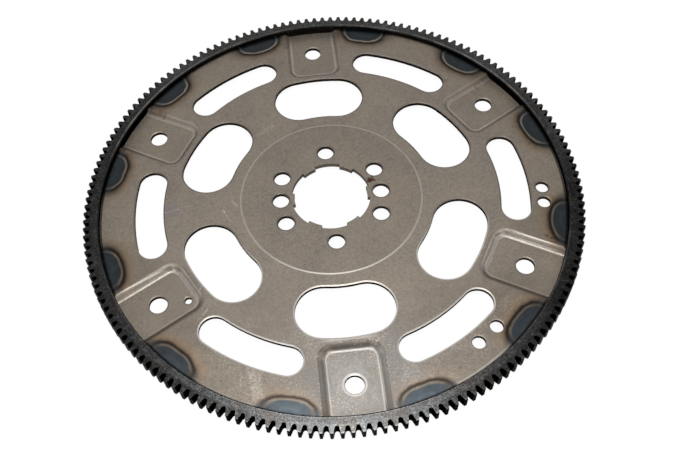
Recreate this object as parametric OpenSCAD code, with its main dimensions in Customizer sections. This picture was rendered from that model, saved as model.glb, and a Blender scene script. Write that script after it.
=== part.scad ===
// Flexplate: a pressed steel disc welded into a toothed starter ring.
// Z is the crankshaft's axis. Z = 0 is the plane that the ring and the six pads rest on,
// and the first pad lies along +Y.

/* [Sheet] */
// Thickness of the pressed sheet
sheet_t = 3.4; // [2.6:0.1:4]
// Depth to which the punch broke the edges of each hole
edge_break = 0.35; // [0.2:0.05:0.6]
// Width of the rolled-over upper edge of each hole
edge_roll = 1; // [0.3:0.1:1.2]
// Width of the rolled-over upper edge of the disc's rim
rim_roll = 1.6; // [0.5:0.1:2.5]
// Fall of the rolled-over upper edge of the disc's rim
rim_fall = 0.45; // [0.2:0.05:1]

/* [Hub] */
// Diameter of the coined hub land
hub_d = 132; // [110:0.5:144]
// Height of the hub land above the sheet
hub_rise = 0.3; // [0.1:0.05:0.6]
// Width of the slope round the hub land
hub_slope = 0.7; // [0.3:0.1:1.5]
// Bore across the lands that centre the disc on the crankshaft
bore_d = 53.2; // [48:0.1:55]
// Bore across the notches between the lands
notch_d = 57.4; // [56:0.1:61]
// Angle that each notch takes
notch_angle = 39; // [20:1:50]
// Bolt circle of the six crankshaft bolts
crank_pcd = 79; // [76:0.1:90]
// Distance between the two side holes of the crankshaft face
side_spacing = 73.2; // [73:0.1:80]
// Diameter of the crankshaft bolt holes
crank_hole_d = 12; // [9:0.1:13]

/* [Windows] */
// Radius of the middle line of the kidney windows
kidney_r = 94.7; // [92:0.1:97]
// Width of the kidney windows
kidney_w = 38.6; // [24:0.1:42]
// Angle between the middle and the end centre of a kidney window
kidney_half_angle = 9.1; // [3:0.1:11]
// Radius of the middle line of the arc slots
slot_r = 132.8; // [129:0.1:140]
// Width of the arc slots
slot_w = 20.8; // [10:0.1:24]
// Angle between the middle and the end centre of an arc slot
slot_half_angle = 11.8; // [5:0.1:13]

/* [Pads] */
// Bolt circle of the six converter bolts
pad_pcd = 292.1; // [285:0.1:300]
// Diameter of the converter bolt holes
pad_hole_d = 12.8; // [9:0.1:15]
// Depth of the pads below the sheet
pad_depth = 3.6; // [2.5:0.1:5]
// Width of the flat floor of a pad
pad_w = 35.6; // [28:0.1:40]
// Radius at which the floor of a pad begins
pad_inner_r = 121.6; // [120:0.1:126]
// Corner radius of the floor of a pad
pad_corner_r = 6.5; // [4:0.1:10]
// Width of the slope round a pad
pad_slope = 3.8; // [3:0.1:5]
// Radius on the hollow side of each bend
bend_in = 2.4; // [0.5:0.1:3]
// Radius on the round side of each bend
bend_out = 3; // [1:0.1:3.5]

/* [Small holes] */
// Diameter of the paired holes near the rim
rim_hole_d = 9; // [6:0.1:10]
// Radius at which the paired holes lie
rim_hole_r = 152.4; // [151:0.1:156]
// Directions of the paired holes, clockwise from the first pad
rim_hole_angles = [94.5, 99.4, 140.5, 146.9]; // [93:0.1:148]
// Diameter of the gauge hole in one pad
gauge_hole_d = 5; // [3:0.1:6]
// Place of the gauge hole across its pad
gauge_hole_x = -9.6; // [-10:0.1:10]
// Place of the gauge hole out from the inner edge of its pad
gauge_hole_y = 6.2; // [5.5:0.1:9]
// Number of the pad with the gauge hole, clockwise from the first pad
gauge_pad = 4; // [0:1:5]

/* [Ring gear] */
// Number of teeth
teeth = 168; // [160:1:176]
// Pitch diameter for each tooth: 12 teeth go to the inch
tooth_module = 2.1167; // [2.05:0.0001:2.15]
// Direction of the first tooth, as a share of the tooth pitch
tooth_phase = 0.3; // [0:0.05:1]
// Pressure angle of the teeth
pressure_angle = 14.5; // [14.5:0.5:20]
// Tooth thickness on the pitch circle taken off for backlash
backlash = 0.35; // [0.1:0.05:0.6]
// Easing at the foot of the teeth
foot_r = 0.8; // [0.5:0.1:1]
// Height of the ring
ring_h = 10.8; // [9:0.1:13]
// Thickness of the ring below the teeth
ring_wall = 6.35; // [5:0.05:8]
// Chamfer of the ring's inner edges
ring_chamfer = 1; // [0.3:0.1:1.5]
// Fall of the bevel over the upper ends of the teeth
tooth_bevel = 0.7; // [0.3:0.1:1.5]
// Gap between the disc's rim and the ring's bore
ring_fit = 0.05; // [0.02:0.01:0.2]

/* [Welds] */
// Length of a weld bead
weld_len = 26; // [18:0.5:34]
// Leg of a weld bead
weld_leg = 3; // [2:0.1:4]
// Direction of a weld bead on either side of each pad
weld_angle = 15.2; // [14:0.1:18]
// Gap kept between the weld beads and the rest plane
weld_floor_gap = 0.4; // [0.2:0.1:1]
// Gap kept between the weld beads and the faces that they join
weld_fit = 0.02; // [0.01:0.01:0.1]

/* [Hidden] */
$fn = 96;
// Shapes that cut or clip reach this far past the faces that they cut
over = 1;
// The round ends of a slot are this much smaller than the slot, so that their cuts cross inside it
end_ease = 0.02;
// The end of each bend lies this far past the sheet's face, so that the bend crosses it
bend_ease = 0.005;
pads = 6;
pad_step = 360 / pads;

// Lengths that meet at a seam keep three decimals, so that they stay equal when they are written out
function snap(x) = round(x * 1000) / 1000;

// Heights
sheet_z = pad_depth;
top_z = sheet_z + sheet_t;
hub_z = top_z + hub_rise;

// Pad form: the slope's angle, and how far the underside stands out from the upper side
slope_angle = atan(pad_depth / pad_slope);
pad_grow = snap(sheet_t * tan(slope_angle / 2));

// Rim: fall of its rolled edge over each millimetre
rim_slope = rim_fall / rim_roll;

// Ring gear: radii from the tooth size
pitch_r = teeth * tooth_module / 2;
tip_r = pitch_r + tooth_module;
root_r = pitch_r - 1.25 * tooth_module;
base_r = pitch_r * cos(pressure_angle);
ring_bore_r = root_r - ring_wall;
disc_r = ring_bore_r - ring_fit;

// Welds: the leg stays above the rest plane
bead_leg = min(weld_leg, pad_depth - weld_floor_gap);
bead_sweep = 1.5 * weld_len / ring_bore_r * 180 / PI;
bead_angles = [for (i = [0 : pads - 1]) for (side = [1, -1]) 90 - i * pad_step + side * weld_angle];

function bead_name(i) = str("weld_bead_", i < 10 ? "0" : "", i);

// Slope from a floor at z = 0 up to a face at z = rise, with both bends rounded; u = 0 at the floor's edge
function slope_points(rise, r_low, r_high, steps = 4) =
    let (t_low = r_low * tan(slope_angle / 2))
    let (t_high = r_high * tan(slope_angle / 2))
    let (run = rise / tan(slope_angle))
    concat(
        [for (k = [0 : steps])
            let (a = slope_angle * k / steps)
            [snap(-t_low + r_low * sin(a)), snap(r_low - r_low * cos(a))]],
        [for (k = [steps : -1 : 1])
            let (a = slope_angle * k / steps)
            [snap(run + t_high - r_high * sin(a)), snap(rise - r_high + r_high * cos(a))]],
        [[snap(run + t_high), rise + bend_ease]]);

// Solid with the outline of a pad along +Y: flat floor at z = 0, sloped sides and rounded inner corners
module pad_form(half_w, corner, inner, r_low, r_high, top) {
    side = slope_points(pad_depth, r_low, r_high);
    far_u = side[len(side) - 1][0];
    corner_x = half_w - corner;
    corner_y = inner + corner;
    right = [for (p = side) [half_w + p[0], p[1]]];
    left = [for (k = [len(side) - 1 : -1 : 0]) [-half_w - side[k][0], side[k][1]]];
    end = [for (p = side) [inner - p[0], p[1]]];
    turn = [for (p = side) [corner + p[0], p[1]]];
    long = disc_r + over - corner_y;
    translate([0, corner_y, 0])
        rotate([90, 0, 180])
            linear_extrude(long)
                polygon(concat(left, right, [[half_w + far_u, top], [-half_w - far_u, top]]));
    translate([-corner_x, 0, 0])
        rotate([90, 0, 90])
            linear_extrude(2 * corner_x)
                polygon(concat([[corner_y, 0]], end, [[inner - far_u, top], [corner_y, top]]));
    for (s = [[-corner_x, 180], [corner_x, 270]])
        translate([s[0], corner_y, 0])
            rotate([0, 0, s[1]])
                rotate_extrude(angle = 90)
                    polygon(concat([[0, 0]], turn, [[corner + far_u, top], [0, top]]));
}

// Round hole between the faces at z0 and z1, with its upper edge rolled over and its lower edge broken
module punched_hole(d, z0, z1) {
    translate([0, 0, z0 - over])
        cylinder(d = d, h = z1 - z0 + 2 * over);
    translate([0, 0, z1 - edge_break])
        cylinder(d1 = d, d2 = d + 4 * edge_roll, h = 2 * edge_break);
    translate([0, 0, z0 - edge_break])
        cylinder(d1 = d + 4 * edge_break, d2 = d, h = 2 * edge_break);
}

// Cross-section of a cut of half width h through the sheet, with such edges, or its right half
function cut_section(h, both) =
    let (e = edge_break)
    let (edge = [[h + 2 * e, sheet_z - e], [h, sheet_z + e], [h, top_z - e], [h + 2 * edge_roll, top_z + e]])
    concat(edge, both ? [for (k = [3 : -1 : 0]) [-edge[k][0], edge[k][1]]] : [[0, top_z + e], [0, sheet_z - e]]);

// Arc slot with round ends, with its middle along +X
module arc_slot(r, w, half_angle) {
    rotate([0, 0, -half_angle])
        rotate_extrude(angle = 2 * half_angle, $fn = 360)
            translate([r, 0])
                polygon(cut_section(w / 2, true));
    for (a = [-half_angle, half_angle])
        rotate([0, 0, a])
            translate([r, 0, 0])
                rotate_extrude()
                    polygon(cut_section(w / 2 - end_ease, false));
}

// Centre bore: six lands with a wider notch between each two
module centre_bore() {
    translate([0, 0, sheet_z - over])
        cylinder(d = bore_d, h = sheet_t + hub_rise + 2 * over);
    for (i = [0 : pads - 1])
        rotate([0, 0, 90 - i * pad_step - notch_angle / 2])
            rotate_extrude(angle = notch_angle)
                translate([bore_d / 4, sheet_z - over])
                    square([notch_d / 2 - bore_d / 4, sheet_t + hub_rise + 2 * over]);
}

module crank_holes() {
    for (i = [0 : pads - 1])
        rotate([0, 0, -i * pad_step])
            translate([0, crank_pcd / 2, 0])
                punched_hole(crank_hole_d, sheet_z, hub_z);
    for (s = [-1, 1])
        translate([s * side_spacing / 2, 0, 0])
            punched_hole(crank_hole_d, sheet_z, hub_z);
}

module small_holes() {
    for (a = rim_hole_angles)
        rotate([0, 0, -a])
            translate([0, rim_hole_r, 0])
                punched_hole(rim_hole_d, sheet_z, top_z);
    rotate([0, 0, -gauge_pad * pad_step])
        translate([gauge_hole_x, pad_inner_r + gauge_hole_y, 0])
            punched_hole(gauge_hole_d, 0, sheet_t);
}

// Flat sheet with the hub land on it and the six pads pressed down below it
module pressed_blank() {
    intersection() {
        cylinder(r = disc_r, h = hub_z + over, $fn = 360);
        union() {
            translate([0, 0, sheet_z])
                cylinder(r = disc_r + over, h = sheet_t, $fn = 360);
            for (i = [0 : pads - 1])
                rotate([0, 0, -i * pad_step])
                    pad_form(pad_w / 2 + pad_grow, pad_corner_r + pad_grow, pad_inner_r - pad_grow,
                        bend_out, bend_in, sheet_z + sheet_t / 2);
        }
    }
    translate([0, 0, top_z - sheet_t / 2])
        cylinder(d = hub_d, h = sheet_t / 2, $fn = 360);
    translate([0, 0, top_z])
        cylinder(d1 = hub_d, d2 = hub_d - 2 * hub_slope, h = hub_rise, $fn = 360);
}

module flex_disc() {
    color([0.52, 0.49, 0.45])
    difference() {
        pressed_blank();
        for (i = [0 : pads - 1])
            rotate([0, 0, -i * pad_step]) {
                translate([0, 0, sheet_t])
                    pad_form(pad_w / 2, pad_corner_r, pad_inner_r, bend_in, bend_out, pad_depth + over);
                translate([0, pad_pcd / 2, 0])
                    punched_hole(pad_hole_d, 0, sheet_t);
                rotate([0, 0, 90])
                    arc_slot(kidney_r, kidney_w, kidney_half_angle);
                rotate([0, 0, 90 - pad_step / 2])
                    arc_slot(slot_r, slot_w, slot_half_angle);
            }
        centre_bore();
        crank_holes();
        small_holes();
        rotate_extrude($fn = 360)
            polygon([
                [disc_r - rim_roll - over, top_z + over * rim_slope],
                [disc_r + over, top_z - rim_fall - over * rim_slope],
                [disc_r + over, top_z + over * rim_slope]]);
    }
}

// Half the angle that a tooth takes at radius r, from the involute
function involute(a) = tan(a) * 180 / PI - a;
function tooth_half_angle(r) =
    90 / teeth - backlash / 2 / pitch_r * 180 / PI
    + involute(pressure_angle) - involute(acos(base_r / r));

// One tooth with its eased feet, as radius and direction round the axis
function tooth_points(middle) =
    let (flank = [root_r + foot_r, pitch_r, tip_r])
    let (foot = tooth_half_angle(flank[0]) + foot_r / root_r * 180 / PI)
    concat(
        [[root_r, middle - foot]],
        [for (r = flank) [r, middle - tooth_half_angle(r)]],
        [for (k = [2 : -1 : 0]) [flank[k], middle + tooth_half_angle(flank[k])]],
        [[root_r, middle + foot]]);

// The toothed outline runs through the ring's turned section, which gives the bore, faces and bevels
module ring_gear() {
    outline = [for (i = [0 : teeth - 1]) for (p = tooth_points((i + tooth_phase) * 360 / teeth))
        [p[0] * cos(p[1]), p[0] * sin(p[1])]];
    bevel_r = root_r - ring_wall / 5;
    bevel_fall = tooth_bevel / (tip_r - bevel_r);
    color([0.25, 0.24, 0.23])
    intersection() {
        translate([0, 0, -over])
            linear_extrude(ring_h + 2 * over)
                polygon(outline);
        rotate_extrude($fn = 360)
            polygon([
                [ring_bore_r + ring_chamfer, 0],
                [tip_r + over, 0],
                [tip_r + over, ring_h - tooth_bevel - over * bevel_fall],
                [bevel_r, ring_h],
                [ring_bore_r + ring_chamfer, ring_h],
                [ring_bore_r, ring_h - ring_chamfer],
                [ring_bore_r, ring_chamfer]]);
    }
}

// Convex fillet under the sheet, against the ring's bore, running out at both ends
module weld_bead(angle) {
    half = weld_len / 2;
    reach = bead_leg + over;
    face = [for (a = [0 : 15 : 90]) bead_leg * [pow(cos(a), 1.3), pow(sin(a), 1.3)]];
    corner = [ring_bore_r - weld_fit, sheet_z - weld_fit];
    section = concat([corner], [for (p = face) corner - p]);
    color([0.42, 0.41, 0.4])
    rotate([0, 0, angle])
        intersection() {
            rotate([0, 0, -bead_sweep / 2])
                rotate_extrude(angle = bead_sweep, $fn = 360)
                    polygon(section);
            translate([ring_bore_r - 2 * bead_leg, 0, sheet_z])
                rotate([90, 0, 90])
                    linear_extrude(3 * bead_leg)
                        polygon([
                            [-half - over, over],
                            [half + over, over],
                            [half - reach, -reach],
                            [reach - half, -reach]]);
        }
}

flex_disc();
ring_gear();
for (i = [1 : len(bead_angles)])
    weld_bead(bead_angles[i - 1]);
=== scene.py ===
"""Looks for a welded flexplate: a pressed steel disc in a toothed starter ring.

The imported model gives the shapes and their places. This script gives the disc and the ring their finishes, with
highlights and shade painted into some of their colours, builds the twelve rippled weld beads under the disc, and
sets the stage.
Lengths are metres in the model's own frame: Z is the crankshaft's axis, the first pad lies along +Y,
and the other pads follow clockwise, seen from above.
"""

import math

import bpy
import numpy as np
from mathutils import Matrix, Vector


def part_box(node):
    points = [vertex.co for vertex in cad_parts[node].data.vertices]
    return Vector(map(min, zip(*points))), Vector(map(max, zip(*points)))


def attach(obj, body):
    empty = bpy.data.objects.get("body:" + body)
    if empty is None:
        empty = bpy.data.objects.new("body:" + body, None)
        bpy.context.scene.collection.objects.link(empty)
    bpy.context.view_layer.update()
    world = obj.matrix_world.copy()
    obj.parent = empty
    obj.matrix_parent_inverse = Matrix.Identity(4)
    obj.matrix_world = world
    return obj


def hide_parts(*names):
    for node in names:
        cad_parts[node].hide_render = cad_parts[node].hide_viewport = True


bl_info = {
    "name": "Flexplate finish",
    "version": (1, 0, 0),
    "blender": (4, 5, 0),
    "location": "3D View > Sidebar > Flexplate",
    "description": "Gives a welded flexplate its finishes, weld beads and stage",
    "category": "Object",
}

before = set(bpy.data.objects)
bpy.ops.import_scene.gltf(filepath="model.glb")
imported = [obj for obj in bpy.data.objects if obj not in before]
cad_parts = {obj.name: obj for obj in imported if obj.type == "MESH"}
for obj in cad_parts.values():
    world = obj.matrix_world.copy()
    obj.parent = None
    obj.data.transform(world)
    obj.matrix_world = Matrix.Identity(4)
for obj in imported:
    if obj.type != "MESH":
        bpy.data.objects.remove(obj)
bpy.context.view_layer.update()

MM = 0.001
PADS = 6
PAD_STEP = math.radians(360 / PADS)

# Sizes that the finishes follow, as in the part's source
RING_FIT = 0.05 * MM
RING_WALL = 6.35 * MM
DISC_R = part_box("flex_disc")[1].x
RING_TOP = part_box("ring_gear")[1].z
TIP_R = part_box("ring_gear")[1].x
RING_BORE_R = DISC_R + RING_FIT
ROOT_R = RING_BORE_R + RING_WALL
SHEET_UNDER = 3.6 * MM
HUB_R = 66.0 * MM
PAD_HALF_W = 17.8 * MM
PAD_INNER_R = 121.6 * MM
PAD_CORNER_R = 6.5 * MM
PAD_SLOPE = 3.8 * MM
WELD_ANGLE = math.radians(15.2)
WELD_FIT = 0.02 * MM

# Radii at which the sheet's finish changes: past the bore's wall, at the walls of the crankshaft bolt holes, where
# the sheet begins to be warmer, and past the windows
BORE_END_R = 30 * MM
BOLT_WALL_R = 34 * MM
WARM_R = 110 * MM
WINDOW_R = 146.5 * MM

# A noise of scale PATTERN / n has features about n mm wide
PATTERN = 1000

# The middle height of the normals on the rolled edges of the holes
ROLLED_TILT = 0.85

# What old oil and painted shade in the slopes leave of the steel's red, green and blue
OIL_AND_SHADE_BROWN = (0.42, 0.35, 0.27)

# The ring is painted darker, as shade, towards two opposite sides: the direction of one, and the distances that way
SHADE_SIDE = (0.94, -0.34, 0.0)
SHADE_FROM, SHADE_TO = 151 * MM, 167 * MM

# Weld beads: points along a bead and round its section, the power that shapes the section, and how far the ripples
# crowd towards one end
BEAD_STATIONS, BEAD_STEPS = 160, 10
BEAD_POWER = 1.3
RIPPLE_CROWD = 0.35

# The photograph's camera: its place, its tilts in degrees, its lens and sensor in mm, its principal point as a share
# of the width, and the nearest and farthest distances that it sees
EYE = (-0.01991, -0.35969, 0.51909)
EYE_HEADING, EYE_ELEVATION, EYE_ROLL = -0.925, 57.323, -5.298
EYE_LENS, EYE_SENSOR, EYE_SHIFT = 45.346, 36, (0.03881, 0.00888)
EYE_REACH = (0.01, 100)

# Surroundings in reflections, by direction: the heights over which the walls end, where the back wall starts, the
# camera's dark stand with the cosines of its spread, and the brightness of the walls
WALL_ENDS, BACK_STARTS = (0.58, 0.70), (0.54, 0.70)
STAND_AIM, STAND_SPREAD = (0.0, -0.87, 0.49), (0.86, 0.95)
WALL_LIGHT = 1.1

# Floor: how far it lies below the part, its paper, and the share of plain white that the eye sees
FLOOR_DROP = 0.2 * MM
PAPER = (0.9, 0.9, 0.9, 1)
FLOOR_WHITE = 0.95

# Softboxes: name, place, the point that it faces, width, height and the setting of its power
SOFTBOXES = (
    ("overhead_softbox", (-0.01, -0.08, 1.2), (-0.01, -0.08, 0.0), 0.40, 0.88, "overhead"),
    ("left_front_softbox", (-0.55, -0.85, 0.72), (0.0, 0.0, 0.0), 0.24, 0.45, "front"),
    ("right_front_softbox", (0.55, -0.85, 0.72), (0.0, 0.0, 0.0), 0.24, 0.45, "front"),
    ("left_softbox", (-1.2, -0.05, 0.22), (0.0, 0.0, 0.0), 0.35, 0.30, "sides"),
    ("right_softbox", (1.2, -0.05, 0.19), (0.0, 0.0, 0.0), 0.35, 0.30, "sides"),
)

# Rust on the upper side: place across and along the disc in mm, radius in mm, strength
RUST_SPOTS = (
    (30.8, 10.0, 3.4, 1.4),
    (-21.5, 153.0, 2.4, 0.6),
    (100.5, 98.0, 3.0, 0.3),
    (145.6, -53.6, 2.0, 0.7),
    (147.8, -55.2, 2.2, 0.8),
    (-131.5, 102.0, 2.4, 0.8),
    (-126.7, 98.3, 2.0, 0.5),
    (-121.2, 93.4, 1.8, 0.5),
    (-152.6, 62.8, 2.0, 0.8),
    (-155.5, 63.6, 2.0, 0.8),
    (130.4, 97.0, 2.0, 0.5),
    (127.4, 94.7, 1.8, 0.4),
    (124.5, 92.5, 1.8, 0.4),
)

# Scuffs and scratches on the upper side, and painted highlights: middle across and along the disc in mm, direction in
# degrees, length and width in mm, strength
SCUFFS_AND_HIGHLIGHTS = (
    (-112.0, 2.0, 12.0, 26.0, 1.0, 0.7),
    (-103.0, -66.0, 60.0, 10.0, 1.0, 0.95),
    (-97.0, -66.0, 55.0, 8.0, 1.0, 0.95),
    (-99.0, -90.0, 40.0, 7.0, 1.0, 0.9),
    (-94.0, -84.5, 50.0, 8.0, 1.0, 0.9),
    (-77.0, -7.0, 115.0, 14.0, 1.2, 0.8),
    (-70.0, 1.5, 120.0, 9.0, 3.0, 0.5),
    (60.0, -112.0, 35.0, 11.0, 1.0, 0.8),
    (20.0, -118.0, 20.0, 9.0, 1.0, 0.8),
    (88.0, -58.0, 70.0, 12.0, 1.0, 0.8),
    (76.0, 31.0, 140.0, 7.0, 1.0, 0.7),
    # The five wide patches from here to (-30, -112) are painted highlights on the half away from the first pad
    (-62.5, -141.0, 97.0, 28.0, 10.0, 0.6),
    (62.0, -128.0, 20.0, 44.0, 18.0, 0.14),
    (0.0, -145.0, 0.0, 40.0, 44.0, 0.34),
    (36.0, -140.0, 80.0, 34.0, 14.0, 0.24),
    (-30.0, -112.0, 20.0, 30.0, 10.0, 0.22),
    (-44.0, 67.5, 35.0, 22.0, 5.0, 0.3),
)

# Smooth rubs and painted highlights on the slopes and edges of three pads and a window, in the same order; the long
# thin ones, 40 to 44 mm long, are painted highlights along the bends
RUBS_AND_HIGHLIGHTS = (
    (114.2, -48.4, 23.0, 13.0, 4.0, 0.5),
    (101.5, -67.5, 53.0, 13.0, 4.0, 0.4),
    (138.6, -55.1, -29.0, 40.0, 1.3, 0.75),
    (137.2, -57.5, -29.0, 40.0, 1.5, 0.5),
    (-137.5, -55.0, 27.5, 42.0, 1.5, 0.75),
    (-114.0, -49.0, -35.0, 9.0, 3.0, 0.6),
    (17.9, -146.0, 90.0, 44.0, 2.0, 1.0),
    (0.0, -114.9, 0.0, 44.0, 3.0, 0.5),
)

# The one bolt hole whose edge gets a painted highlight, in the pad opposite the first: place across and along the
# disc and radius, in mm
SEAT_HIGHLIGHT = (0.0, -146.05, 8.8)

# Stains of old oil, and patches of painted shade: place across and along the disc in mm, radius in mm, colour,
# strength
OIL_STAINS_AND_SHADE = (
    (6.0, -148.0, 62.0, "75726E", 0.95),
    # The second to the eighth tints, darker, on the half away from the first pad, are painted shade
    (-60.0, -102.0, 45.0, "6A625A", 0.5),
    (-120.0, -70.0, 34.0, "6A625A", 0.5),
    (72.0, -112.0, 44.0, "665E56", 0.6),
    (112.0, -98.0, 36.0, "5C5349", 0.6),
    (142.0, -40.0, 26.0, "5C5349", 0.5),
    (-110.0, -102.0, 32.0, "5C5349", 0.4),
    (-142.0, -40.0, 26.0, "5C5349", 0.5),
    (-116.0, 2.0, 9.0, "6F6470", 0.5),
    (38.5, -9.0, 6.0, "8C726A", 0.35),
    (-118.0, 22.0, 11.0, "5E564E", 0.4),
)

# Pads: places as shares of the way from inside the floor's edge to outside it, and how far the press has smoothed the
# steel there, or how far it is rubbed and painted with highlights
PAD_SPAN = (-4 * MM, 8 * MM)
PRESSED = ((0.17, 0.0), (0.25, 0.9), (0.36, 1.0), (0.43, 0.35), (0.54, 0.35), (0.62, 0.5), (0.74, 0.0))
BEND_RUBS_AND_HIGHLIGHTS = ((0.19, 0.0), (0.25, 1.0), (0.34, 1.0), (0.40, 0.35), (0.53, 0.35), (0.57, 0.7), (0.61, 0.7), (0.67, 0.0))

# Heat marks: the power of their ellipses, and their bands as places outwards, colours and cover
MARK_POWER = 2.4
MARK_BANDS = (
    (0.00, "scale", 1.0),
    (0.16, "scale", 1.0),
    (0.23, "sheen", 1.0),
    (0.32, "scale", 1.0),
    (0.46, "scale", 1.0),
    (0.49, "edge", 1.0),
    (0.51, "edge", 1.0),
    (0.55, "brown", 1.0),
    (0.595, "brown", 0.97),
    (0.66, "gold", 0.75),
    (0.76, "straw", 0.38),
    (0.87, "straw", 0.14),
    (1.00, "straw", 0.0),
)

# The field that holds a node's mode, by the node's type
MODE_FIELD = {
    "Math": "operation",
    "VectorMath": "operation",
    "Mix": "data_type",
    "MapRange": "interpolation_type",
    "Mapping": "vector_type",
}


def linear(colour):
    """A colour written as sRGB hex, such as 8A8176, as linear red, green and blue."""
    parts = [int(colour[i : i + 2], 16) / 255 for i in (0, 2, 4)]
    return tuple(c / 12.92 if c <= 0.04045 else ((c + 0.055) / 1.055) ** 2.4 for c in parts)


def add(tree, kind, *values, out=0, named=None, stops=(), **fields):
    """Adds one node and returns one of its outputs, if it has any.

    kind is the node's type, with its mode after a colon. values fill the inputs in use in their order, and named
    fills inputs by name, with numbers or sockets. stops are a ramp's places and colours."""
    name, _, mode = kind.partition(":")
    made = tree.nodes.new("ShaderNode" + name)
    if mode:
        setattr(made, MODE_FIELD[name], mode)
    for field, value in fields.items():
        setattr(made, field, value)
    if stops:
        ramp = made.color_ramp
        ramp.elements.remove(ramp.elements[1])
        ramp.elements[0].position, ramp.elements[0].color = stops[0]
        for at, colour in stops[1:]:
            ramp.elements.new(at).color = colour
    pairs = list(zip((s for s in made.inputs if s.enabled), values))
    pairs += [(made.inputs[key], value) for key, value in (named or {}).items()]
    for socket, value in pairs:
        if isinstance(value, bpy.types.NodeSocket):
            tree.links.new(value, socket)
        elif value is not None:
            socket.default_value = value
    outputs = [s for s in made.outputs if s.enabled]
    return outputs[out] if outputs else None


def new_material(name):
    """An empty node material with its tree, ready for one shader."""
    material = bpy.data.materials.new(name)
    material.use_nodes = True
    material.node_tree.nodes.clear()
    return material, material.node_tree


def dress(node, material):
    """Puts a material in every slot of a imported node."""
    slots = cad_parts[node].material_slots
    if not slots:
        raise RuntimeError(f"{node} has no material slot")
    for slot in slots:
        slot.material = material


def rgba(colour, alpha=1.0):
    """A linear colour with its alpha, as a colour socket or a ramp stop takes it."""
    return (*colour, alpha)


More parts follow.
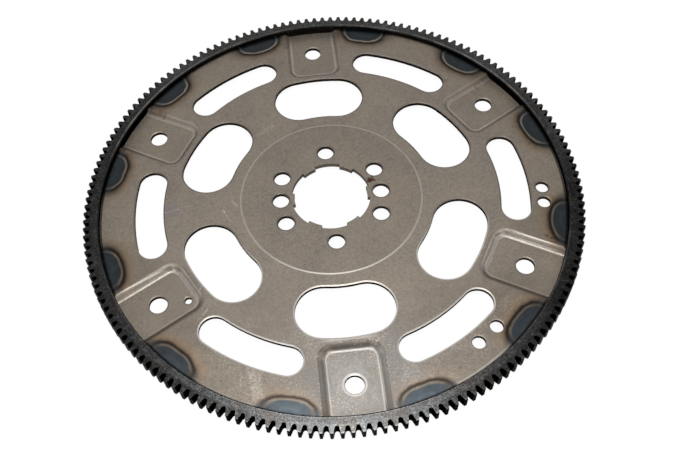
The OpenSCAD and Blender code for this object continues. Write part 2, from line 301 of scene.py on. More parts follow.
def sheet_steel(disc, marks):
    """Cold-rolled steel sheet, pressed and left bare under a film of oil.

    It is a satin warm-grey metal with a fine mottle, dark specks and pale scuffs, rubbed bright along the pressed
    bends and the rolled edges of the holes, painted black as shade and dull on the punched walls, with spots of rust.
    On the half away from the first pad, painted highlights lie on the bends, edges and floors, with painted glints,
    and patches and some slopes are darkened as painted shade. Beside each weld the heat has left blue-grey scale,
    edged pale and then dark brown, in a straw-coloured halo; the marks are painted lighter on the half away from the
    first pad and darker on the first pad's half."""
    material, t = new_material("cold_rolled_steel_sheet")
    place = add(t, "TexCoord", out=3)
    flat = add(t, "VectorMath:MULTIPLY", place, (1, 1, 0))
    radius = add(t, "VectorMath:LENGTH", flat)
    x = add(t, "SeparateXYZ", place)
    y = x.node.outputs["Y"]
    facing = add(t, "SeparateXYZ", add(t, "NewGeometry", out=1)).node.outputs["Z"]
    leaning = facing.node.outputs["Y"]
    steep = add(t, "Math:ABSOLUTE", facing)
    upper = add(t, "MapRange:SMOOTHSTEP", facing, -0.3, 0.0)

    # Each pad's own directions: turn is the angle from the nearest pad's middle
    turn = add(t, "Math:WRAP", add(t, "Math:ARCTAN2", x, y), PAD_STEP / 2, -PAD_STEP / 2)
    side = add(t, "Math:ABSOLUTE", turn)
    across = add(t, "Math:MULTIPLY", radius, add(t, "Math:SINE", side))
    along = add(t, "Math:MULTIPLY", radius, add(t, "Math:COSINE", side))

    # Distance from the outline of a pad's floor, a rectangle with round inner corners, open at the rim
    qx = add(t, "Math:SUBTRACT", across, PAD_HALF_W - PAD_CORNER_R)
    qy = add(t, "Math:SUBTRACT", PAD_INNER_R + PAD_CORNER_R, along)
    corner = add(t, "CombineXYZ", add(t, "Math:MAXIMUM", qx, 0.0), add(t, "Math:MAXIMUM", qy, 0.0))
    inside = add(t, "Math:MINIMUM", add(t, "Math:MAXIMUM", qx, qy), 0.0)
    outline = add(t, "Math:ADD", add(t, "VectorMath:LENGTH", corner), inside)
    outline = add(t, "Math:SUBTRACT", outline, PAD_CORNER_R)

    # Patterns: clouds about 30 mm wide, blotches about 7 mm and grain about 1.6 mm, drawn coarser than the real
    # grain of some 0.1 mm so that it shows
    clouds = add(t, "TexNoise", place, PATTERN / 30, 3.0, 0.55)
    blotch = add(t, "TexNoise", place, PATTERN / 7, 4.0, 0.6)
    grain = add(t, "TexNoise", place, PATTERN / 1.6, 4.0, 0.7)
    tone = add(t, "MapRange", clouds, 0.3, 0.7, 0.93, 1.07)
    tone = add(t, "Math:ADD", tone, add(t, "MapRange", blotch, 0.3, 0.7, -0.05, 0.05))
    tone = add(t, "Math:ADD", tone, add(t, "MapRange", grain, 0.3, 0.7, -0.22, 0.22))
    hub_land = add(t, "MapRange:SMOOTHSTEP", radius, HUB_R - 1 * MM, HUB_R, 0.93, 1.0)
    tone = add(t, "Math:MULTIPLY", tone, hub_land)
    steel = add(t, "VectorMath:SCALE", tuple(disc.steel), named={"Scale": tone})

    # Warmer in clouds, and towards the rim, where the welding heat has been
    warm = add(t, "MapRange:SMOOTHSTEP", radius, WARM_R, DISC_R, 0.0, 0.4)
    warm = add(t, "Math:ADD", warm, add(t, "MapRange", clouds, 0.4, 0.7, 0.0, 0.4))
    colour = add(t, "Mix:RGBA", warm, steel, add(t, "VectorMath:MULTIPLY", steel, (1.02, 0.98, 0.9)))

    # Dark specks in patches, about 2 mm wide, tints that old oil has left, and patches of painted shade
    specks = add(t, "TexNoise", place, PATTERN / 2.6, 2.0, 0.4)
    specks = add(t, "MapRange:SMOOTHSTEP", specks, 0.64, 0.74)
    specks = add(t, "Math:MULTIPLY", specks, add(t, "MapRange", clouds, 0.48, 0.36, 0.15, 0.6))
    colour = add(t, "Mix:RGBA", specks, colour, rgba(disc.speck))
    for sx, sy, size, tint, strength in OIL_STAINS_AND_SHADE:
        stain_and_shade = add(t, "VectorMath:DISTANCE", flat, (sx * MM, sy * MM, 0))
        stain_and_shade = add(t, "MapRange:SMOOTHSTEP", stain_and_shade, 0.3 * size * MM, size * MM, strength, 0.0)
        stain_and_shade = add(t, "Math:MULTIPLY", stain_and_shade, add(t, "MapRange", blotch, 0.3, 0.6, 0.3, 1.0))
        colour = add(t, "Mix:RGBA", stain_and_shade, colour, rgba(linear(tint)))

    # Pressed bends: the floor's edge, the slope and its upper edge, drawn smooth by the press, rubbed, and painted
    # with highlights, most along the floor's edge and high on the slope
    span = add(t, "MapRange", outline, *PAD_SPAN)
    pressed, bends = (
        add(t, "ValToRGB", span, stops=[(at, rgba((level,) * 3)) for at, level in table])
        for table in (PRESSED, BEND_RUBS_AND_HIGHLIGHTS)
    )
    bends = add(t, "Math:MULTIPLY", bends, add(t, "MapRange", clouds, 0.35, 0.6, 0.3, 0.5))

    # Away from the first pad, slopes that lean towards it lie in shade, so the painted highlight is mostly left off
    # them
    shaded = add(t, "MapRange:SMOOTHSTEP", leaning, 0.02, 0.15)
    shaded = add(t, "Math:MULTIPLY", shaded, add(t, "MapRange:SMOOTHSTEP", y, -50 * MM, -20 * MM, 0.8, 0.0))
    bends = add(t, "Math:MULTIPLY", bends, add(t, "Math:SUBTRACT", 1.0, shaded))

    # The slope of the pad opposite the first is browned by old oil and darkened as painted shade, most at its inner
    # end, and the middle of the slopes that lean away from the first pad is darkened the same way as painted shade
    oil_and_shade = add(t, "MapRange:SMOOTHSTEP", outline, 0.3 * MM, 1.4 * MM)
    oil_and_shade = add(t, "Math:MULTIPLY", oil_and_shade, add(t, "MapRange:SMOOTHSTEP", outline, 3.4 * MM, 5.6 * MM, 1.0, 0.0))
    oil_and_shade = add(t, "Math:MULTIPLY", oil_and_shade, add(t, "MapRange:SMOOTHSTEP", y, -112 * MM, -108 * MM, 1.0, 0.0))
    flank = add(t, "MapRange:SMOOTHSTEP", x, -12 * MM, 12 * MM, 0.4, 0.0)
    end = add(t, "MapRange:SMOOTHSTEP", y, -126 * MM, -121 * MM)
    oil_and_shade = add(t, "Math:MULTIPLY", oil_and_shade, add(t, "Math:MAXIMUM", flank, end))
    groove = add(t, "MapRange:SMOOTHSTEP", outline, 0.8 * MM, 1.4 * MM)
    groove = add(t, "Math:MULTIPLY", groove, add(t, "MapRange:SMOOTHSTEP", outline, 2.2 * MM, 3.2 * MM, 1.0, 0.0))
    lean = add(t, "MapRange:SMOOTHSTEP", leaning, -0.4, -0.15, 0.5, 0.0)
    oil_and_shade = add(t, "Math:MAXIMUM", oil_and_shade, add(t, "Math:MULTIPLY", groove, lean))
    colour = add(t, "Mix:RGBA", oil_and_shade, colour, add(t, "VectorMath:MULTIPLY", colour, OIL_AND_SHADE_BROWN))

    # Burnished edge of the hub; rolled edges of the windows and a line beside the ring, as painted highlights;
    # scuffs;
    # painted highlights on the pads' bends; and painted glints about 1 mm wide away from the first pad. The rolled
    # edges of the first pad's half and of the hub's holes are darker, and those of the other half carry the painted
    # highlight
    hub = add(t, "Math:ABSOLUTE", add(t, "Math:SUBTRACT", radius, HUB_R - 0.35 * MM))
    hub = add(t, "MapRange:SMOOTHSTEP", hub, 0.3 * MM, 0.9 * MM, 0.6, 0.0)
    rolled = add(t, "Math:ABSOLUTE", add(t, "Math:SUBTRACT", steep, ROLLED_TILT))
    rolled = add(t, "MapRange:SMOOTHSTEP", rolled, 0.115, 0.14, 1.0, 0.0)
    open_sheet = add(t, "MapRange:SMOOTHSTEP", outline, 5.5 * MM, 6 * MM)
    rolled = add(t, "Math:MULTIPLY", rolled, open_sheet)
    darker_edges = add(t, "Math:MULTIPLY", rolled, add(t, "MapRange:SMOOTHSTEP", y, -60 * MM, -10 * MM, 0.0, 0.65))
    at_hub = add(t, "MapRange", radius, HUB_R - 2 * MM, HUB_R, 0.5, 0.0)
    darker_edges = add(t, "Math:MAXIMUM", darker_edges, add(t, "Math:MULTIPLY", rolled, at_hub))
    colour = add(t, "Mix:RGBA", darker_edges, colour, rgba(disc.speck))
    # Painted highlight: the rolled edges are bright on the half away from the first pad only
    rolled = add(t, "Math:MULTIPLY", rolled, add(t, "MapRange:SMOOTHSTEP", y, -60 * MM, -20 * MM, 1.0, 0.05))
    rolled = add(t, "Math:MULTIPLY", rolled, add(t, "MapRange", radius, HUB_R - 2 * MM, HUB_R, 0.1, 1.0))
    rolled = add(t, "Math:MULTIPLY", rolled, add(t, "MapRange", radius, WINDOW_R, WINDOW_R + 1 * MM, 1.0, 0.15))
    # Painted highlight along the rolled rim beside the ring, on the half away from the first pad
    rim_highlight = add(t, "Math:ABSOLUTE", add(t, "Math:SUBTRACT", radius, DISC_R - 1.5 * MM))
    rim_highlight = add(t, "MapRange:SMOOTHSTEP", rim_highlight, 0.4 * MM, 1 * MM, 0.65, 0.0)
    rim_highlight = add(t, "Math:MULTIPLY", rim_highlight, open_sheet)
    rim_highlight = add(t, "Math:MULTIPLY", rim_highlight, add(t, "MapRange:SMOOTHSTEP", y, -90 * MM, -60 * MM, 1.0, 0.0))
    rim_highlight = add(t, "Math:MULTIPLY", rim_highlight, add(t, "MapRange:SMOOTHSTEP", x, -90 * MM, 70 * MM, 0.3, 1.0))
    # The rubbed mask gathers real rubs and the painted highlights alike
    rubbed = add(t, "Math:MAXIMUM", add(t, "Math:MAXIMUM", bends, hub), add(t, "Math:MAXIMUM", rolled, rim_highlight))
    scratchy = add(t, "Math:MULTIPLY", add(t, "MapRange", blotch, 0.35, 0.58), add(t, "MapRange", grain, 0.35, 0.6))
    # Scuffs and smooth rubs, with the painted highlights listed among them
    worn = [(row, scratchy) for row in SCUFFS_AND_HIGHLIGHTS] + [(row, 1.0) for row in RUBS_AND_HIGHLIGHTS]
    for (sx, sy, angle, length, width, strength), texture in worn:
        half = (length / 2 * MM, width / 2 * MM, 1)
        line = add(t, "Mapping:TEXTURE", flat, (sx * MM, sy * MM, 0), (0, 0, math.radians(angle)), half)
        line = add(t, "SeparateXYZ", add(t, "VectorMath:ABSOLUTE", line))
        line = add(t, "Math:MAXIMUM", line, line.node.outputs["Y"])
        line = add(t, "MapRange:SMOOTHSTEP", line, 0.5, 1.0, strength, 0.0)
        line = add(t, "Math:MULTIPLY", add(t, "Math:MULTIPLY", line, texture), upper)
        rubbed = add(t, "Math:MAXIMUM", rubbed, line)
    # Painted glints: small bright specks on the half away from the first pad
    painted_glints = add(t, "MapRange:SMOOTHSTEP", add(t, "TexNoise", place, PATTERN / 0.9, 2.0, 0.5), 0.56, 0.66)
    painted_glints = add(t, "Math:MULTIPLY", painted_glints, add(t, "MapRange:SMOOTHSTEP", y, -120 * MM, -80 * MM, 0.7, 0.08))
    painted_glints = add(t, "Math:MULTIPLY", painted_glints, add(t, "MapRange", clouds, 0.4, 0.58, 0.25, 1.0))
    rubbed = add(t, "Math:MAXIMUM", rubbed, painted_glints)
    rubbed = add(t, "Math:MULTIPLY", rubbed, disc.burnish_and_highlight_strength)
    # Painted highlight round the edge of the bolt hole in the pad opposite the first
    seat_highlight = add(t, "VectorMath:DISTANCE", flat, (*(c * MM for c in SEAT_HIGHLIGHT[:2]), 0))
    seat_highlight = add(t, "MapRange:SMOOTHSTEP", seat_highlight, (SEAT_HIGHLIGHT[2] - 1.8) * MM, SEAT_HIGHLIGHT[2] * MM, 0.72, 0.0)
    rubbed = add(t, "Math:MAXIMUM", rubbed, seat_highlight)
    colour = add(t, "Mix:RGBA", rubbed, colour, rgba(disc.burnish_and_highlight))

    # Heat marks: halves of full ellipses at the rim, as shares of their half width and depth, deeper on the first
    # pad's side, and darker there. Their edges wobble over about 12 mm, with hairs about 1.4 mm wide
    depth = add(t, "Math:MULTIPLY_ADD", y, marks.lean / DISC_R, marks.depth)
    u = add(t, "Math:SUBTRACT", side, WELD_ANGLE)
    u = add(t, "Math:MULTIPLY", u, DISC_R / (marks.width / 2))
    v = add(t, "Math:DIVIDE", add(t, "Math:SUBTRACT", DISC_R, radius), depth)
    heat = add(t, "Math:POWER", add(t, "Math:ABSOLUTE", u), MARK_POWER)
    heat = add(t, "Math:ADD", heat, add(t, "Math:POWER", v, MARK_POWER))
    heat = add(t, "Math:POWER", heat, 1 / MARK_POWER)
    wobble = add(t, "TexNoise", place, PATTERN / 12, 2.0, 0.5)
    heat = add(t, "Math:ADD", heat, add(t, "MapRange", wobble, 0.3, 0.7, -0.04, 0.04))
    hairs = add(t, "Math:MULTIPLY", turn, DISC_R * PATTERN / 1.4)
    hairs = add(t, "CombineXYZ", hairs, add(t, "Math:MULTIPLY", radius, PATTERN / 9), 0.0)
    hairs = add(t, "TexNoise", hairs, 1.0, 2.0, 0.5)
    heat = add(t, "Math:ADD", heat, add(t, "MapRange", hairs, 0.3, 0.7, -0.015, 0.015))
    heat = add(t, "Math:MULTIPLY_ADD", add(t, "Math:SUBTRACT", heat, 1.0), depth, marks.depth)
    heat = add(t, "MapRange", heat, 0.0, 2 * marks.depth)
    bands = [(at, rgba(getattr(marks, band), cover)) for at, band, cover in MARK_BANDS]
    marked = add(t, "ValToRGB", heat, stops=bands)
    covered = marked.node.outputs["Alpha"]
    halo = add(t, "MapRange:SMOOTHSTEP", heat, 0.62, 0.7)
    halo = add(t, "Math:MULTIPLY", halo, add(t, "MapRange:SMOOTHSTEP", y, -152 * MM, -130 * MM, 0.6, 0.0))
    covered = add(t, "Math:MULTIPLY", covered, add(t, "Math:SUBTRACT", 1.0, halo))
    ends = add(t, "MapRange:SMOOTHSTEP", v, 0.25, 0.85, 0.6, 0.0)
    marked = add(t, "Mix:RGBA", ends, marked, rgba(marks.scale))
    mottle = add(t, "MapRange", blotch, 0.3, 0.7, 0.8, 1.2)
    pale = add(t, "Math:ABSOLUTE", add(t, "Math:SUBTRACT", heat, 0.5))
    pale = add(t, "MapRange:SMOOTHSTEP", pale, 0.02, 0.045, 1.0, 0.0)
    # Painted highlight and shade: on the half away from the first pad the marks are painted lighter and their pale
    # edge darker, and on the first pad's half the other way round
    level = add(t, "MapRange", y, -150 * MM, 150 * MM, 1.25, 0.65)
    level = add(t, "Mix:FLOAT", pale, level, add(t, "MapRange", y, -150 * MM, 150 * MM, 0.6, 1.25))
    mottle = add(t, "Math:MULTIPLY", mottle, level)
    marked = add(t, "VectorMath:SCALE", marked, named={"Scale": mottle})
    colour = add(t, "Mix:RGBA", covered, colour, marked)

    # Rust: spots at their own places with ragged edges, and a bloom beside the pads at the rim
    rust = 0.0
    ragged = add(t, "MapRange", add(t, "TexNoise", place, PATTERN / 3, 2.0, 0.5), 0.3, 0.7, -1.5 * MM, 1.5 * MM)
    for sx, sy, size, strength in RUST_SPOTS:
        spot = add(t, "VectorMath:DISTANCE", flat, (sx * MM, sy * MM, 0))
        spot = add(t, "Math:ADD", spot, ragged)
        spot = add(t, "MapRange:SMOOTHSTEP", spot, 0.4 * size * MM, size * MM, strength, 0.0)
        rust = add(t, "Math:MAXIMUM", rust, spot)
    rim = add(t, "MapRange:SMOOTHSTEP", radius, DISC_R - 22 * MM, DISC_R - 8 * MM)
    beside = add(t, "Math:ABSOLUTE", add(t, "Math:SUBTRACT", across, PAD_HALF_W + PAD_SLOPE))
    beside = add(t, "MapRange:SMOOTHSTEP", beside, 0.5 * MM, 4.5 * MM, 1.0, 0.0)
    bloom = add(t, "Math:MULTIPLY", rim, beside)
    bloom = add(t, "Math:MULTIPLY", bloom, add(t, "MapRange", clouds, 0.38, 0.6, 0.0, 0.7))
    bloom = add(t, "Math:MULTIPLY", bloom, add(t, "MapRange:SMOOTHSTEP", y, -135 * MM, -100 * MM, 0.2, 1.0))
    bloom = add(t, "Math:MULTIPLY", bloom, add(t, "MapRange", blotch, 0.3, 0.6, 0.2, 1.0))
    rust = add(t, "Math:MULTIPLY", rust, upper)
    rust = add(t, "Math:MULTIPLY", rust, add(t, "MapRange", grain, 0.3, 0.5, 0.75, 1.0))
    rust = add(t, "Math:MAXIMUM", rust, bloom)
    rust = add(t, "Math:MULTIPLY", rust, disc.rust_strength, use_clamp=True)
    colour = add(t, "Mix:RGBA", rust, colour, rgba(disc.rust))

    # Punched walls: steep faces, painted dark as shade, sheared and dull, cleaner at the hub
    wall = add(t, "MapRange:SMOOTHSTEP", steep, 0.3, 0.6, 1.0, 0.0)
    bored = add(t, "MapRange:SMOOTHSTEP", radius, BORE_END_R, BOLT_WALL_R, 0.75, 0.1)
    bored = add(t, "Math:MULTIPLY", bored, add(t, "MapRange", radius, HUB_R - 2 * MM, HUB_R, 1.0, 0.0))
    cut = add(t, "Mix:RGBA", bored, rgba(disc.cut_wall_shade), rgba(disc.bored_wall))
    colour = add(t, "Mix:RGBA", wall, colour, cut)

    # Pad floors are pressed flatter than the sheet, and bends are smoother still; rust and walls have no oil film
    dull = add(t, "Math:MAXIMUM", rust, wall)
    metal = add(t, "Mix:FLOAT", wall, add(t, "MapRange", rust, 0.0, 1.0, 0.85, 0.2), 1.0)
    film = add(t, "MapRange", dull, 0.0, 1.0, 0.24, 0.0)
    floor = add(t, "MapRange:SMOOTHSTEP", outline, -2.5 * MM, -1 * MM, 0.06, 0.0)
    rough = add(t, "MapRange", blotch, 0.3, 0.7, 0.52, 0.62)
    rough = add(t, "Math:SUBTRACT", rough, floor)
    rough = add(t, "Mix:FLOAT", covered, rough, 0.3)
    rough = add(t, "Mix:FLOAT", pressed, rough, 0.4)
    rough = add(t, "Mix:FLOAT", rubbed, rough, 0.42)
    rough = add(t, "Mix:FLOAT", dull, rough, 0.6)
    bump = add(t, "Bump", named={"Strength": 0.7, "Distance": 0.06 * MM, "Height": grain})

    # The dark specular tint keeps glancing reflections as dull as the used surface is
    shader = add(
        t,
        "BsdfPrincipled",
        named={
            "Base Color": colour,
            "Metallic": metal,
            "Roughness": rough,
            "Specular Tint": (0.3, 0.3, 0.3, 1.0),
            "Normal": bump,
            "Coat Weight": film,
            "Coat Roughness": 0.3,
            "Coat Normal": bump,
        },
    )
    add(t, "OutputMaterial", shader)
    return material


def gear_scale(ring):
    """Forged ring-gear steel under black iron scale from the shrink fit and a film of oil.

    The scale is a dark metallic skin with a cold cast, scuffed paler in places, brown here and there, and rubbed grey
    on the teeth's outer ends. A painted highlight runs along the bevel of the upper inner edge, two opposite sides
    are painted darker as shade, and the tooth gaps and the bore are painted near black as shade."""
    material, t = new_material("black_scaled_gear_steel")
    place = add(t, "TexCoord", out=3)
    radius = add(t, "VectorMath:LENGTH", add(t, "VectorMath:MULTIPLY", place, (1, 1, 0)))
    z = add(t, "SeparateXYZ", place).node.outputs["Z"]
    y = z.node.outputs["Y"]

    # Patterns: patches about 12 mm wide, scuffs about 4 mm, and grain about 1.5 mm, drawn coarser than the real grain
    # so that it shows
    patches = add(t, "TexNoise", place, PATTERN / 12, 4.0, 0.65)
    scuffs = add(t, "TexNoise", place, PATTERN / 4, 4.0, 0.7)
    grain = add(t, "TexNoise", place, PATTERN / 1.5, 3.0, 0.6)
    thin = add(t, "MapRange", scuffs, 0.45, 0.7)
    thin = add(t, "Math:MULTIPLY", thin, add(t, "MapRange", patches, 0.4, 0.6, 0.2, 1.0))
    colour = add(t, "Mix:RGBA", thin, rgba(ring.scale), rgba(ring.thin_scale))
    brown = add(t, "MapRange", add(t, "TexNoise", place, PATTERN / 25, 3.0, 0.6), 0.48, 0.7, 0.0, 0.6)
    colour = add(t, "Mix:RGBA", brown, colour, rgba(ring.brown))
    colour = add(t, "VectorMath:SCALE", colour, named={"Scale": add(t, "MapRange", grain, 0.3, 0.7, 0.6, 1.4)})

    # Painted shade: the scale is painted darker towards two opposite sides
    side_shade = add(t, "Math:ABSOLUTE", add(t, "VectorMath:DOT_PRODUCT", place, SHADE_SIDE))
    side_shade = add(t, "MapRange:SMOOTHSTEP", side_shade, SHADE_FROM, SHADE_TO, 1.0, 0.62)
    colour = add(t, "VectorMath:SCALE", colour, named={"Scale": side_shade})

    # Pale specks about 1 mm wide
    specks = add(t, "MapRange:SMOOTHSTEP", add(t, "TexNoise", place, PATTERN / 1.1, 2.0, 0.5), 0.56, 0.68, 0.0, 0.5)
    colour = add(t, "Mix:RGBA", specks, colour, rgba(ring.worn))

    # Wear on the outer ends of the teeth
    worn = add(t, "MapRange:SMOOTHSTEP", radius, TIP_R - 1.2 * MM, TIP_R - 0.2 * MM, 0.0, 0.7)
    worn = add(t, "Math:MULTIPLY", worn, add(t, "MapRange", scuffs, 0.35, 0.6, 0.25, 1.0))
    colour = add(t, "Mix:RGBA", worn, colour, rgba(ring.worn))

    # A painted highlight along the bevel of the inner upper edge, strong on the half away from the first pad and
    # thinner on the first pad's half, but hardly where the ring crosses the X axis
    edge = add(t, "MapRange:SMOOTHSTEP", radius, RING_BORE_R + 0.8 * MM, RING_BORE_R + 1.3 * MM, 0.5, 0.0)
    edge = add(t, "Math:MULTIPLY", edge, add(t, "MapRange:SMOOTHSTEP", z, RING_TOP - 1 * MM, RING_TOP - 0.5 * MM))
    edge = add(t, "Math:MULTIPLY", edge, add(t, "MapRange:SMOOTHSTEP", y, -100 * MM, -20 * MM, 1.0, 0.0))
    far = add(t, "MapRange:SMOOTHSTEP", radius, RING_BORE_R + 1.3 * MM, RING_BORE_R + 2 * MM, 0.4, 0.0)
    far = add(t, "Math:MULTIPLY", far, add(t, "MapRange:SMOOTHSTEP", z, RING_TOP - 0.6 * MM, RING_TOP - 0.2 * MM))
    far = add(t, "Math:MULTIPLY", far, add(t, "MapRange:SMOOTHSTEP", y, 35 * MM, 85 * MM))
    far = add(t, "Math:MULTIPLY", far, add(t, "MapRange:SMOOTHSTEP", y, 120 * MM, 165 * MM, 1.0, 0.35))
    edge = add(t, "Math:MAXIMUM", edge, far)
    edge = add(t, "Math:MULTIPLY", edge, add(t, "MapRange", patches, 0.35, 0.6, 0.3, 1.0))
    colour = add(t, "Mix:RGBA", edge, colour, rgba(ring.bevel_highlight))

    # Painted shade: the gaps between the teeth below their upper faces are painted near black, and so is the bore
    recess_shade = add(t, "MapRange:SMOOTHSTEP", radius, TIP_R - 2 * MM, TIP_R - 0.5 * MM, 1.0, 0.0)
    level = add(t, "MapRange:SMOOTHSTEP", z, RING_TOP - 1.3 * MM, RING_TOP - 0.8 * MM, 1.0, 0.0)
    toothed = add(t, "MapRange:SMOOTHSTEP", radius, ROOT_R - 0.3 * MM, ROOT_R)
    recess_shade = add(t, "Math:MULTIPLY", recess_shade, add(t, "Math:MULTIPLY", level, toothed))
    bore = add(t, "MapRange:SMOOTHSTEP", radius, RING_BORE_R + 0.5 * MM, RING_BORE_R + 1.1 * MM, 0.75, 0.0)
    bore = add(t, "Math:MULTIPLY", bore, add(t, "Math:SUBTRACT", 1.0, edge))
    recess_shade = add(t, "Math:MAXIMUM", recess_shade, bore)
    colour = add(t, "Mix:RGBA", recess_shade, colour, rgba(ring.recess_shade))
    rough = add(t, "MapRange", scuffs, 0.3, 0.7, 0.24, 0.3)
    bump = add(t, "Bump", named={"Strength": 0.6, "Distance": 0.05 * MM, "Height": grain})

    # The dark specular tint keeps glancing reflections as dull as scale is
    shader = add(
        t,
        "BsdfPrincipled",
        named={
            "Base Color": colour,
            "Metallic": 1.0,
            "Roughness": rough,
            "Specular Tint": (0.1, 0.1, 0.1, 1.0),
            "Normal": bump,
        },
    )
    add(t, "OutputMaterial", shader)
    return material


def weld_metal(beads):
    """Electric-arc weld metal as it froze.

    It is a satin grey metal with a fine grain, tinted blue and brown by the heat in patches."""
    material, t = new_material("arc_weld_metal")
    place = add(t, "TexCoord", out=3)
    tint = add(t, "TexNoise", place, PATTERN / 6, 3.0, 0.6)
    colour = add(
        t,
        "ValToRGB",
        tint,
        stops=[(0.35, rgba(beads.blue)), (0.52, rgba(beads.grey)), (0.68, rgba(beads.brown))],
    )
    grain = add(t, "TexNoise", place, PATTERN / 0.8, 2.0, 0.5)
    rough = add(t, "MapRange", tint, 0.3, 0.7, 0.3, 0.5)
    bump = add(t, "Bump", named={"Strength": 0.4, "Distance": 0.05 * MM, "Height": grain})
    shader = add(
        t,
        "BsdfPrincipled",
        named={"Base Color": colour, "Metallic": 0.9, "Roughness": rough, "Normal": bump},
    )
    add(t, "OutputMaterial", shader)
    return material


def bead_surface(angle, beads):
    """One weld bead as points on a grid and their faces.

    A fillet's section, bulging between its two legs, is carried along the inner corner of sheet and ring.
    Its leg fades to a point at both ends as a full half circle does, and swells at each ripple as a parabola does:
    leg(s) = full leg * sqrt(1 - s^4) * (1 + ripple), where s runs from -1 to 1 along the bead.
    Point(s, a) lies at radius R - leg cos(a)^k, and at height Z - leg sin(a)^k, where a goes round the section, k is
    BEAD_POWER, and R and Z are the ring's bore and the sheet's underside less WELD_FIT."""
    s = np.linspace(-1, 1, BEAD_STATIONS)
    fade = np.sqrt(np.clip(1 - s**4, 0, 1))
    phase = s * beads.length / 2 / beads.ripple_pitch
    curve = (phase + RIPPLE_CROWD * s**2) % 1.0
    ripple = beads.ripple_height / beads.leg * (1 - (2 * curve - 1) ** 2 - 0.5)
    leg = beads.leg * fade * (1 + ripple)
    a = np.linspace(0, math.pi / 2, BEAD_STEPS)
    section = np.stack([np.cos(a) ** BEAD_POWER, np.sin(a) ** BEAD_POWER])
    section = np.concatenate([section, np.zeros((2, 1))], axis=1)
    rho = RING_BORE_R - WELD_FIT - leg[:, None] * section[0][None, :]
    height = SHEET_UNDER - WELD_FIT - leg[:, None] * section[1][None, :]
    turn = angle + s[:, None] * beads.length / 2 / RING_BORE_R
    points = np.stack([rho * np.cos(turn), rho * np.sin(turn), height], axis=-1).reshape(-1, 3)
    width = BEAD_STEPS + 1
    i, j = np.meshgrid(np.arange(1, BEAD_STATIONS - 2), np.arange(width), indexing="ij")
    k = (j + 1) % width
    low, high = i * width, (i + 1) * width
    quads = np.stack([low + j, low + k, high + k, high + j], axis=-1).reshape(-1, 4)
    j = np.arange(width)
    k = (j + 1) % width
    first = np.stack([np.zeros_like(j), width + k, width + j], axis=-1)
    tip = np.full_like(j, (BEAD_STATIONS - 1) * width)
    edge = (BEAD_STATIONS - 2) * width
    last = np.stack([tip, edge + j, edge + k], axis=-1)
    return points, quads, np.concatenate([first, last])


def mesh_piece(name, points, faces, material):
    """A smooth mesh object at the origin from points and lists of faces, with unused points left out."""
    used = np.unique(np.concatenate([f.ravel() for f in faces]))
    new_index = np.zeros(len(points), int)
    new_index[used] = np.arange(len(used))
    mesh = bpy.data.meshes.new(name)
    mesh.from_pydata(points[used].tolist(), [], [f for part in faces for f in new_index[part].tolist()])
    mesh.polygons.foreach_set("use_smooth", np.ones(len(mesh.polygons), bool))
    mesh.materials.append(material)
    mesh.update()
    piece = bpy.data.objects.new(name, mesh)
    bpy.context.scene.collection.objects.link(piece)
    return piece


def colour_setting(name, description, colour):
    """A setting for a colour, given as sRGB hex."""
    return bpy.props.FloatVectorProperty(
        name=name, description=description, subtype="COLOR", size=3, min=0, max=1, default=linear(colour)
    )


def length_setting(name, description, value, low, high):
    """A setting for a length in metres."""
    return bpy.props.FloatProperty(
        name=name, description=description, unit="LENGTH", min=low, max=high, default=value
    )


class DiscFinish(bpy.types.PropertyGroup):
    """Colours and strengths of the bare sheet's finish, its painted highlights and its painted shade"""

    steel: colour_setting("Steel", "Bare sheet", "787067")
    # The colour of real rubs and of the painted highlights
    burnish_and_highlight: colour_setting("Burnish", "Rubbed bends and painted highlights", "CFCBC5")
    burnish_and_highlight_strength: bpy.props.FloatProperty(
        name="Burnish strength",
        description="How bright the rubs and painted highlights are",
        min=0,
        max=1,
        default=0.55,
        subtype="FACTOR",
    )
    speck: colour_setting("Speck", "Dark specks", "4A423B")
    rust: colour_setting("Rust", "Rust spots and bloom", "351E0E")
    rust_strength: bpy.props.FloatProperty(
        name="Rust strength",
        description="How much rust shows",
        min=0,
        max=2,
        default=1.0,
        subtype="FACTOR",
    )
    # The near black painted as shade on the punched walls
    cut_wall_shade: colour_setting("Cut wall", "Punched walls of the holes", "221E1A")
    bored_wall: colour_setting("Bored wall", "Cleaner walls at the hub", "6E675E")


class HeatMarks(bpy.types.PropertyGroup):
    """Shape and colours of the weld heat marks"""

    width: length_setting("Width", "Width of a heat mark at the rim", 31.8 * MM, 0.01, 0.06)
    depth: length_setting("Depth", "Reach of a heat mark in from the rim", 11.4 * MM, 0.004, 0.02)
    lean: length_setting("Lean", "How much deeper the marks are on the first pad's side", 1.5 * MM, 0, 0.004)
    scale: colour_setting("Scale", "Blue-grey scale", "2A3034")
    sheen: colour_setting("Sheen", "Paler band in the scale", "363D42")
    edge: colour_setting("Edge", "Pale edge of the scale", "71685C")
    brown: colour_setting("Brown", "Brown line round the scale", "20170F")
    gold: colour_setting("Gold", "Golden brown beside the brown line", "5A4A38")
    straw: colour_setting("Straw", "Straw-coloured halo", "6E573E")


class RingFinish(bpy.types.PropertyGroup):
    """Colours of the starter ring's scale, of its painted highlight and of its painted shade"""

    scale: colour_setting("Scale", "Black scale", "3C3D3D")
    thin_scale: colour_setting("Thin scale", "Paler patches", "5A5B5C")
    brown: colour_setting("Brown", "Brown cast in places", "3A332D")
    worn: colour_setting("Worn", "Rubbed ends and edges", "6B6967")
    # The colour of the painted highlight on the inner upper bevel
    bevel_highlight: colour_setting("Bevel highlight", "Inner upper bevel", "B4B2AE")
    # The near black painted as shade in the tooth gaps and on the bore
    recess_shade: colour_setting("Recess shade", "Grime in the tooth gaps", "0C0B0A")


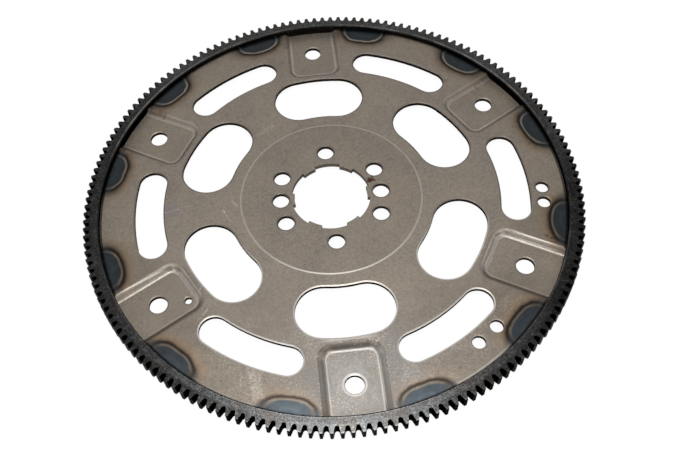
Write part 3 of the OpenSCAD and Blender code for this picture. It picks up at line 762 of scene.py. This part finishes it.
class WeldBeads(bpy.types.PropertyGroup):
    """Form and colours of the weld beads"""

    length: length_setting("Length", "Length of a bead", 26 * MM, 0.01, 0.04)
    leg: length_setting("Leg", "Leg of a bead", 2.95 * MM, 0.001, 0.004)
    ripple_pitch: length_setting("Ripple pitch", "Distance between ripples", 1.5 * MM, 0.0005, 0.004)
    ripple_height: length_setting("Ripple height", "Height of the ripples", 0.22 * MM, 0, 0.0005)
    grey: colour_setting("Grey", "Weld metal", "6E6C69")
    blue: colour_setting("Blue", "Blue heat tint", "454C54")
    brown: colour_setting("Brown", "Brown heat tint", "5B4A3A")


class StageLight(bpy.types.PropertyGroup):
    """Lights and floor of the stage"""

    world: bpy.props.FloatProperty(
        name="Surroundings", description="Light from all round", min=0, max=2, default=0.5
    )
    ceiling: bpy.props.FloatProperty(
        name="Ceiling", description="Brightness of the ceiling in reflections", min=0, max=2, default=0.3
    )
    overhead: bpy.props.FloatProperty(
        name="Overhead", description="Power of the overhead softbox", unit="POWER", min=0, max=500, default=10.8
    )
    front: bpy.props.FloatProperty(
        name="Front", description="Power of each softbox in front", unit="POWER", min=0, max=100, default=2.8
    )
    sides: bpy.props.FloatProperty(
        name="Sides", description="Power of each softbox at the sides", unit="POWER", min=0, max=100, default=1.4
    )
    floor_size: length_setting("Floor", "Side of the floor", 12, 1, 50)


class FLEXPLATE_OT_disc(bpy.types.Operator):
    """Finish the pressed disc as bare sheet steel with weld heat marks, painted highlights and painted shade"""

    bl_idname = "flexplate.disc"
    bl_label = "Finish disc"

    def execute(self, context):
        scene = context.scene
        dress("flex_disc", sheet_steel(scene.flexplate_disc, scene.flexplate_marks))
        return {"FINISHED"}


class FLEXPLATE_OT_ring(bpy.types.Operator):
    """Finish the starter ring as black-scaled steel, with its painted highlight and painted shade"""

    bl_idname = "flexplate.ring"
    bl_label = "Finish ring gear"

    def execute(self, context):
        dress("ring_gear", gear_scale(context.scene.flexplate_ring))
        return {"FINISHED"}


class FLEXPLATE_OT_beads(bpy.types.Operator):
    """Build the rippled weld beads in the corner between disc and ring"""

    bl_idname = "flexplate.beads"
    bl_label = "Build weld beads"

    def execute(self, context):
        beads = context.scene.flexplate_beads
        material = weld_metal(beads)
        number = 0
        for pad in range(PADS):
            for sign in (1, -1):
                number += 1
                angle = math.pi / 2 - pad * PAD_STEP + sign * WELD_ANGLE
                points, quads, ends = bead_surface(angle, beads)
                piece = mesh_piece(f"weld_ripple_{number:02d}", points, [quads, ends], material)
                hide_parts(f"weld_bead_{number:02d}")
                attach(piece, "root")
        return {"FINISHED"}


class FLEXPLATE_OT_stage(bpy.types.Operator):
    """Set the floor, the surroundings, the softboxes and the camera"""

    bl_idname = "flexplate.stage"
    bl_label = "Set stage"

    def execute(self, context):
        scene = context.scene
        light = scene.flexplate_stage
        scene.view_settings.view_transform = "Standard"

        # Surroundings: white to the eye; in reflections white walls, taller at the back, under a dim ceiling, with
        # the camera's dark stand in front
        world = bpy.data.worlds.new("studio")
        scene.world = world
        world.use_nodes = True
        t = world.node_tree
        t.nodes.clear()
        ray = add(t, "LightPath")
        heading = add(t, "TexCoord")
        up = add(t, "SeparateXYZ", heading).node.outputs["Z"]
        walls = add(t, "MapRange:SMOOTHSTEP", up, *WALL_ENDS, 1.0, 0.0)
        back = add(t, "MapRange:SMOOTHSTEP", up.node.outputs["Y"], *BACK_STARTS)
        room = add(t, "MapRange", add(t, "Math:MAXIMUM", walls, back), 0.0, 1.0, light.ceiling, WALL_LIGHT)
        stand = add(t, "VectorMath:DOT_PRODUCT", heading, STAND_AIM)
        stand = add(t, "MapRange:SMOOTHSTEP", stand, *STAND_SPREAD, 1.0, light.ceiling)
        room = add(t, "Math:MINIMUM", room, stand)
        seen = add(t, "Math:MAXIMUM", ray.node.outputs["Is Glossy Ray"], ray.node.outputs["Is Transmission Ray"])
        strength = add(t, "Mix:FLOAT", seen, light.world, room)
        strength = add(t, "Mix:FLOAT", ray, strength, 1.0)
        background = add(t, "Background", (1, 1, 1, 1), strength)
        add(t, "OutputWorld", background)

        # Floor: white paper, near white to the eye, with the part's soft shadow
        half = light.floor_size / 2
        mesh = bpy.data.meshes.new("floor")
        corners = ((-half, -half), (half, -half), (half, half), (-half, half))
        mesh.from_pydata([(*corner, -FLOOR_DROP) for corner in corners], [], [(0, 1, 2, 3)])
        floor = bpy.data.objects.new("floor", mesh)
        scene.collection.objects.link(floor)
        material, t = new_material("white_paper")
        ray = add(t, "LightPath")
        seen = add(t, "Math:MAXIMUM", ray, ray.node.outputs["Is Glossy Ray"])
        paper = add(t, "BsdfDiffuse", PAPER)
        white = add(t, "Emission", (1, 1, 1, 1), 1.0)
        mixed = add(t, "MixShader", add(t, "Math:MULTIPLY", seen, FLOOR_WHITE), paper, white)
        add(t, "OutputMaterial", mixed)
        mesh.materials.append(material)

        # Softboxes: a long one overhead, and faint ones in front and at both sides, all facing down or to the part
        for name, spot, aim, width, height, setting in SOFTBOXES:
            lamp = bpy.data.lights.new(name, "AREA")
            lamp.shape = "RECTANGLE"
            lamp.energy, lamp.size, lamp.size_y = getattr(light, setting), width, height
            softbox = bpy.data.objects.new(name, lamp)
            scene.collection.objects.link(softbox)
            facing = (Vector(aim) - Vector(spot)).to_track_quat("-Z", "Y")
            softbox.matrix_world = Matrix.Translation(spot) @ facing.to_matrix().to_4x4()

        # Camera: tilted by its elevation, rolled about its own axis, then turned by its heading
        camera = bpy.data.objects.new("photo_camera", bpy.data.cameras.new("photo_camera"))
        scene.collection.objects.link(camera)
        turned = (
            Matrix.Rotation(math.radians(EYE_HEADING), 4, "Z")
            @ Matrix.Rotation(math.radians(90 - EYE_ELEVATION), 4, "X")
            @ Matrix.Rotation(math.radians(EYE_ROLL), 4, "Z")
        )
        camera.matrix_world = Matrix.Translation(EYE) @ turned
        camera.data.lens = EYE_LENS
        camera.data.sensor_width = EYE_SENSOR
        camera.data.shift_x, camera.data.shift_y = EYE_SHIFT
        camera.data.clip_start, camera.data.clip_end = EYE_REACH
        scene.camera = camera
        return {"FINISHED"}


class FLEXPLATE_PT_panel(bpy.types.Panel):
    """Lists the flexplate's pieces and their settings"""

    bl_idname = "FLEXPLATE_PT_panel"
    bl_label = "Flexplate"
    bl_space_type = "VIEW_3D"
    bl_region_type = "UI"
    bl_category = "Flexplate"

    def draw(self, context):
        for operator, *groups in STEPS:
            box = self.layout.box()
            box.operator(operator)
            for settings in (getattr(context.scene, group) for group in groups):
                for key in settings.bl_rna.properties.keys():
                    if key not in ("rna_type", "name"):
                        box.prop(settings, key)


# Each operator with the groups of settings that it reads
STEPS = (
    ("flexplate.stage", "flexplate_stage"),
    ("flexplate.disc", "flexplate_disc", "flexplate_marks"),
    ("flexplate.ring", "flexplate_ring"),
    ("flexplate.beads", "flexplate_beads"),
)
GROUPS = {
    "flexplate_disc": DiscFinish,
    "flexplate_marks": HeatMarks,
    "flexplate_ring": RingFinish,
    "flexplate_beads": WeldBeads,
    "flexplate_stage": StageLight,
}
CLASSES = (
    *GROUPS.values(),
    FLEXPLATE_OT_disc,
    FLEXPLATE_OT_ring,
    FLEXPLATE_OT_beads,
    FLEXPLATE_OT_stage,
    FLEXPLATE_PT_panel,
)


def register():
    for item in CLASSES:
        bpy.utils.register_class(item)
    for key, group in GROUPS.items():
        setattr(bpy.types.Scene, key, bpy.props.PointerProperty(type=group))


def unregister():
    for key in GROUPS:
        delattr(bpy.types.Scene, key)
    for item in reversed(CLASSES):
        bpy.utils.unregister_class(item)


def main():
    register()
    bpy.ops.flexplate.stage()
    bpy.ops.flexplate.disc()
    bpy.ops.flexplate.ring()
    bpy.ops.flexplate.beads()


if __name__ == "__main__":
    main()
